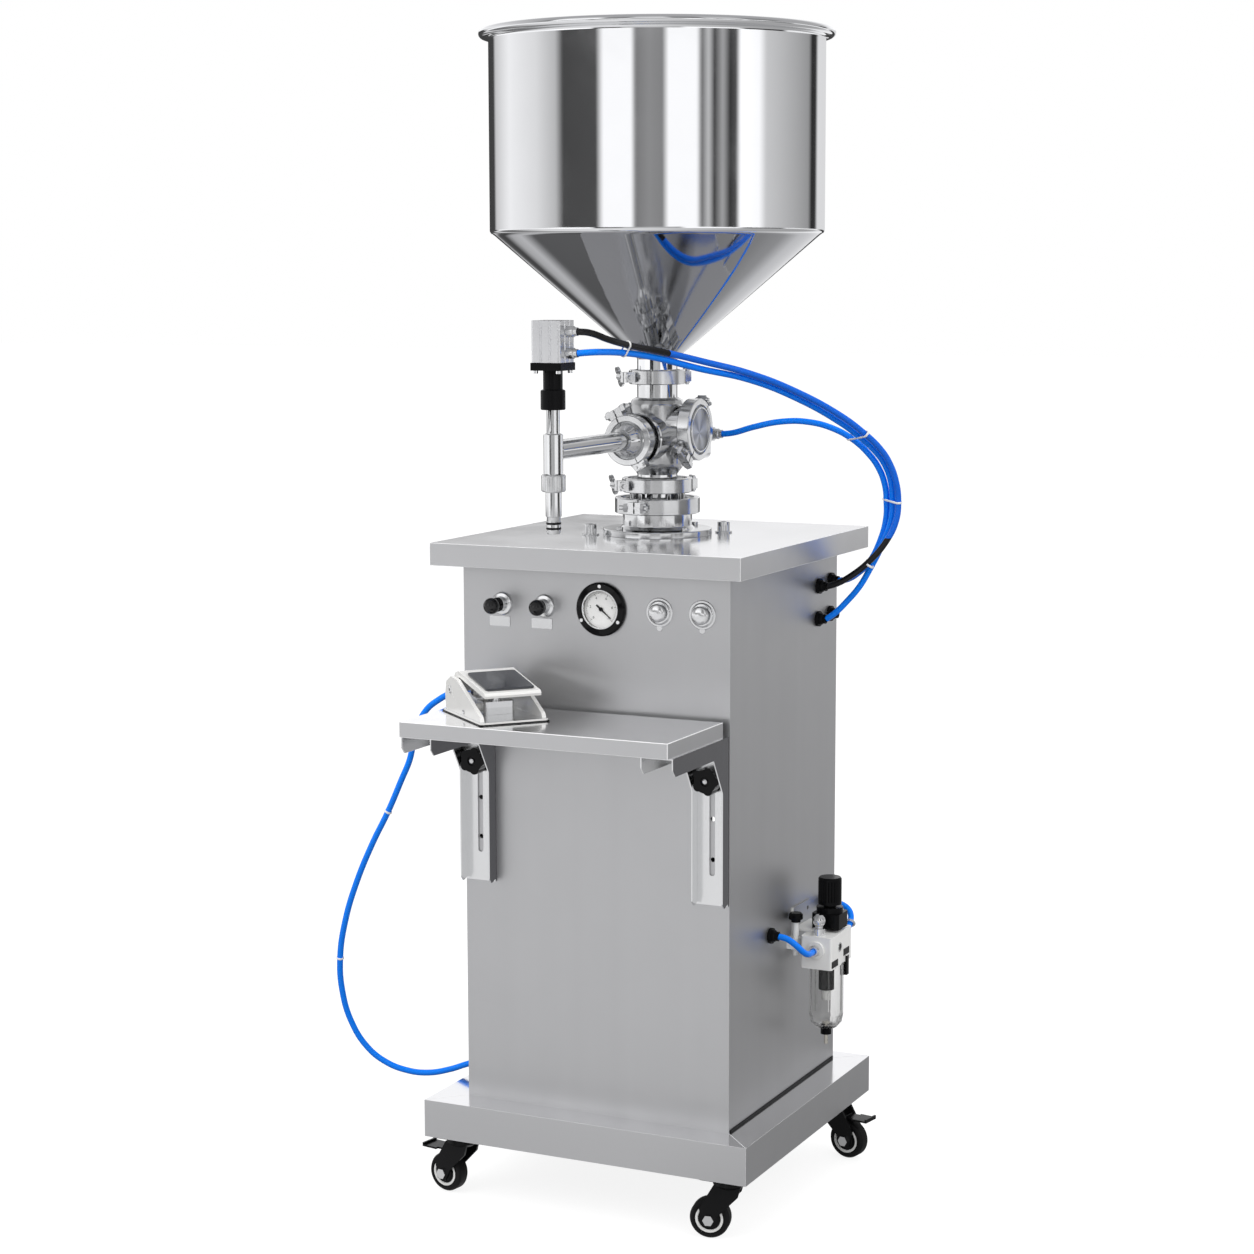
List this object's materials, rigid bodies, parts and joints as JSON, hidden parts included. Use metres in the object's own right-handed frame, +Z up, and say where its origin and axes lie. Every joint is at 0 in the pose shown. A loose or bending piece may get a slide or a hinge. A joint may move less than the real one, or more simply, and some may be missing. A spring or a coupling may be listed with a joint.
{
  "type": "piston paste filling machine",
  "caption": "Wheeled stainless cabinet with a cone hopper over a rotary valve, a piston dosing barrel, a side-reaching shut-off nozzle, a slotted shelf, a foot pedal and an air service unit",
  "frame": {"origin": "on the floor, at the centre of the machine's outline in plan, hoses left out", "axes": "+X to the machine's right seen from the shelf side, +Y to the back, +Z up"},
  "size_m": [0.664, 0.575, 1.469],
  "materials": {
    "satin_steel": "satin brushed stainless sheet",
    "polished_steel": "polished stainless",
    "cast_steel": "bead-blasted cast stainless",
    "alloy": "clear anodised",
    "barrel_steel": "ground stainless",
    "chrome_trim": "bright plated",
    "black_plastic": "moulded",
    "caster_black": "black coated",
    "wheel_rubber": "solid tyre",
    "pedal_cream": "enamelled casting",
    "pedal_rubber": "moulded pad",
    "white_fitting": "moulded",
    "clear_bowl": "clear",
    "drain_brass": "turned",
    "blue_hose": "extruded tube",
    "dark_hose": "extruded tube"
  },
  "bodies": {
    "cabinet": {"base_tray": "satin_steel", "caster_plates": "caster_black", "cabinet_shell": "satin_steel", "rear_panel": "satin_steel", "worktop": "satin_steel", "fixing_screws": "polished_steel", "base_collar": "polished_steel", "neck_reducer": "polished_steel", "valve_body": "cast_steel", "valve_actuator": "cast_steel", "end_cap": "cast_steel", "pipe_clamps": "polished_steel", "outlet_pipe": "polished_steel", "nozzle_tip": "polished_steel", "nozzle_nut": "polished_steel", "nozzle_cylinder": "alloy", "nozzle_mount": "black_plastic", "hopper": "polished_steel", "product_barrel": "barrel_steel", "drive_cylinder": "alloy", "gauge_case": "black_plastic", "gauge_glass": "clear_bowl", "panel_bezels": "chrome_trim", "filter_bracket": "white_fitting", "filter_body": "white_fitting", "filter_bowl": "clear_bowl", "tube_fittings": "black_plastic", "nozzle_hose": "blue_hose", "nozzle_hose_dark": "dark_hose", "valve_hose": "blue_hose", "filter_hose_front": "blue_hose", "filter_hose_rear": "blue_hose", "pedal_hose": "blue_hose"},
    "rotor": {"valve_rotor": "cast_steel"},
    "piston": {"product_piston": "barrel_steel"},
    "plunger": {"nozzle_plunger": "barrel_steel"},
    "needle": {"gauge_needle": "black_plastic"},
    "speed_left": {"speed_knob_left": "black_plastic"},
    "speed_right": {"speed_knob_right": "black_plastic"},
    "start": {"start_button": "chrome_trim"},
    "stop": {"stop_button": "chrome_trim"},
    "shelf": {"shelf_plate": "satin_steel", "shelf_brackets": "satin_steel", "pedal_base": "pedal_cream"},
    "treadle": {"pedal_treadle": "pedal_cream", "pedal_pad": "pedal_rubber"},
    "clamp_left": {"clamp_knob_left": "black_plastic"},
    "clamp_right": {"clamp_knob_right": "black_plastic"},
    "regulator": {"regulator_knob": "black_plastic"},
    "drain": {"drain_pin": "drain_brass"},
    "caster_1": {"caster_fork_1": "caster_black"},
    "wheel_1": {"caster_wheel_1": "wheel_rubber"},
    "brake_1": {"brake_pedal_1": "caster_black"},
    "caster_2": {"caster_fork_2": "caster_black"},
    "wheel_2": {"caster_wheel_2": "wheel_rubber"},
    "caster_3": {"caster_fork_3": "caster_black"},
    "wheel_3": {"caster_wheel_3": "wheel_rubber"},
    "brake_3": {"brake_pedal_3": "caster_black"},
    "caster_4": {"caster_fork_4": "caster_black"},
    "wheel_4": {"caster_wheel_4": "wheel_rubber"}
  },
  "joints": [
    {"name": "caster_swivel_1", "type": "hinge", "parent": "cabinet", "child": "caster_1", "pos_m": [-0.186, -0.1255, 0.075], "axis": [0, 0, 1], "continuous": true},
    {"name": "wheel_spin_1", "type": "hinge", "parent": "caster_1", "child": "wheel_1", "pos_m": [-0.20963, -0.12133, 0.025], "axis": [-0.1736, -0.9848, 0], "continuous": true},
    {"name": "brake_press_1", "type": "hinge", "parent": "caster_1", "child": "brake_1", "pos_m": [-0.20767, -0.12168, 0.0554], "axis": [-0.1736, -0.9848, 0], "range_deg": [0, 12]},
    {"name": "caster_swivel_2", "type": "hinge", "parent": "cabinet", "child": "caster_2", "pos_m": [0.186, -0.1255, 0.075], "axis": [0, 0, 1], "continuous": true},
    {"name": "wheel_spin_2", "type": "hinge", "parent": "caster_2", "child": "wheel_2", "pos_m": [0.16252, -0.13049, 0.025], "axis": [0.2079, -0.9781, 0], "continuous": true},
    {"name": "caster_swivel_3", "type": "hinge", "parent": "cabinet", "child": "caster_3", "pos_m": [0.186, 0.2225, 0.075], "axis": [0, 0, 1], "continuous": true},
    {"name": "wheel_spin_3", "type": "hinge", "parent": "caster_3", "child": "wheel_3", "pos_m": [0.20963, 0.21833, 0.025], "axis": [0.1736, 0.9848, 0], "continuous": true},
    {"name": "brake_press_3", "type": "hinge", "parent": "caster_3", "child": "brake_3", "pos_m": [0.20767, 0.21868, 0.0554], "axis": [0.1736, 0.9848, 0], "range_deg": [0, 12]},
    {"name": "caster_swivel_4", "type": "hinge", "parent": "cabinet", "child": "caster_4", "pos_m": [-0.186, 0.2225, 0.075], "axis": [0, 0, 1], "continuous": true},
    {"name": "wheel_spin_4", "type": "hinge", "parent": "caster_4", "child": "wheel_4", "pos_m": [-0.16345, 0.23071, 0.025], "axis": [-0.342, 0.9397, 0], "continuous": true},
    {"name": "valve_turn", "type": "hinge", "parent": "cabinet", "child": "rotor", "pos_m": [0, 0.0645, 0.964], "axis": [0, 1, 0], "range_deg": [0, 90]},
    {"name": "piston_stroke", "type": "slide", "parent": "cabinet", "child": "piston", "axis": [0, 0, 1], "range_m": [0, 0.16]},
    {"name": "nozzle_shutoff", "type": "slide", "parent": "cabinet", "child": "plunger", "axis": [0, 0, 1], "range_m": [0, 0.012], "stiffness_N_per_m": 400},
    {"name": "gauge_reading", "type": "hinge", "parent": "cabinet", "child": "needle", "pos_m": [0.0106, -0.1215, 0.765], "axis": [0, 1, 0], "range_deg": [-255, 15]},
    {"name": "speed_turn_left", "type": "hinge", "parent": "cabinet", "child": "speed_left", "pos_m": [-0.1256, -0.1355, 0.765], "axis": [0, 1, 0], "continuous": true},
    {"name": "speed_turn_right", "type": "hinge", "parent": "cabinet", "child": "speed_right", "pos_m": [-0.0668, -0.1355, 0.765], "axis": [0, 1, 0], "continuous": true},
    {"name": "start_press", "type": "slide", "parent": "cabinet", "child": "start", "axis": [0, 1, 0], "range_m": [0, 0.003], "stiffness_N_per_m": 400},
    {"name": "stop_press", "type": "slide", "parent": "cabinet", "child": "stop", "axis": [0, 1, 0], "range_m": [0, 0.003], "stiffness_N_per_m": 400},
    {"name": "shelf_slide", "type": "slide", "parent": "cabinet", "child": "shelf", "axis": [0, 0, 1], "range_m": [0, 0.05], "deforming": ["pedal_hose"]},
    {"name": "treadle_press", "type": "hinge", "parent": "shelf", "child": "treadle", "pos_m": [-0.1242, -0.17536, 0.669], "axis": [0.6428, 0.766, 0], "range_deg": [0, 8], "stiffness_Nm_per_rad": 6},
    {"name": "clamp_turn_left", "type": "hinge", "parent": "cabinet", "child": "clamp_left", "pos_m": [-0.159, -0.1355, 0.568], "axis": [0, 1, 0], "continuous": true},
    {"name": "clamp_turn_right", "type": "hinge", "parent": "cabinet", "child": "clamp_right", "pos_m": [0.159, -0.1355, 0.568], "axis": [0, 1, 0], "continuous": true},
    {"name": "regulator_turn", "type": "hinge", "parent": "cabinet", "child": "regulator", "pos_m": [0.223, 0.1065, 0.39], "axis": [0, 0, 1], "continuous": true},
    {"name": "drain_press", "type": "slide", "parent": "cabinet", "child": "drain", "axis": [0, 0, 1], "range_m": [0, 0.003], "stiffness_N_per_m": 200}
  ]
}
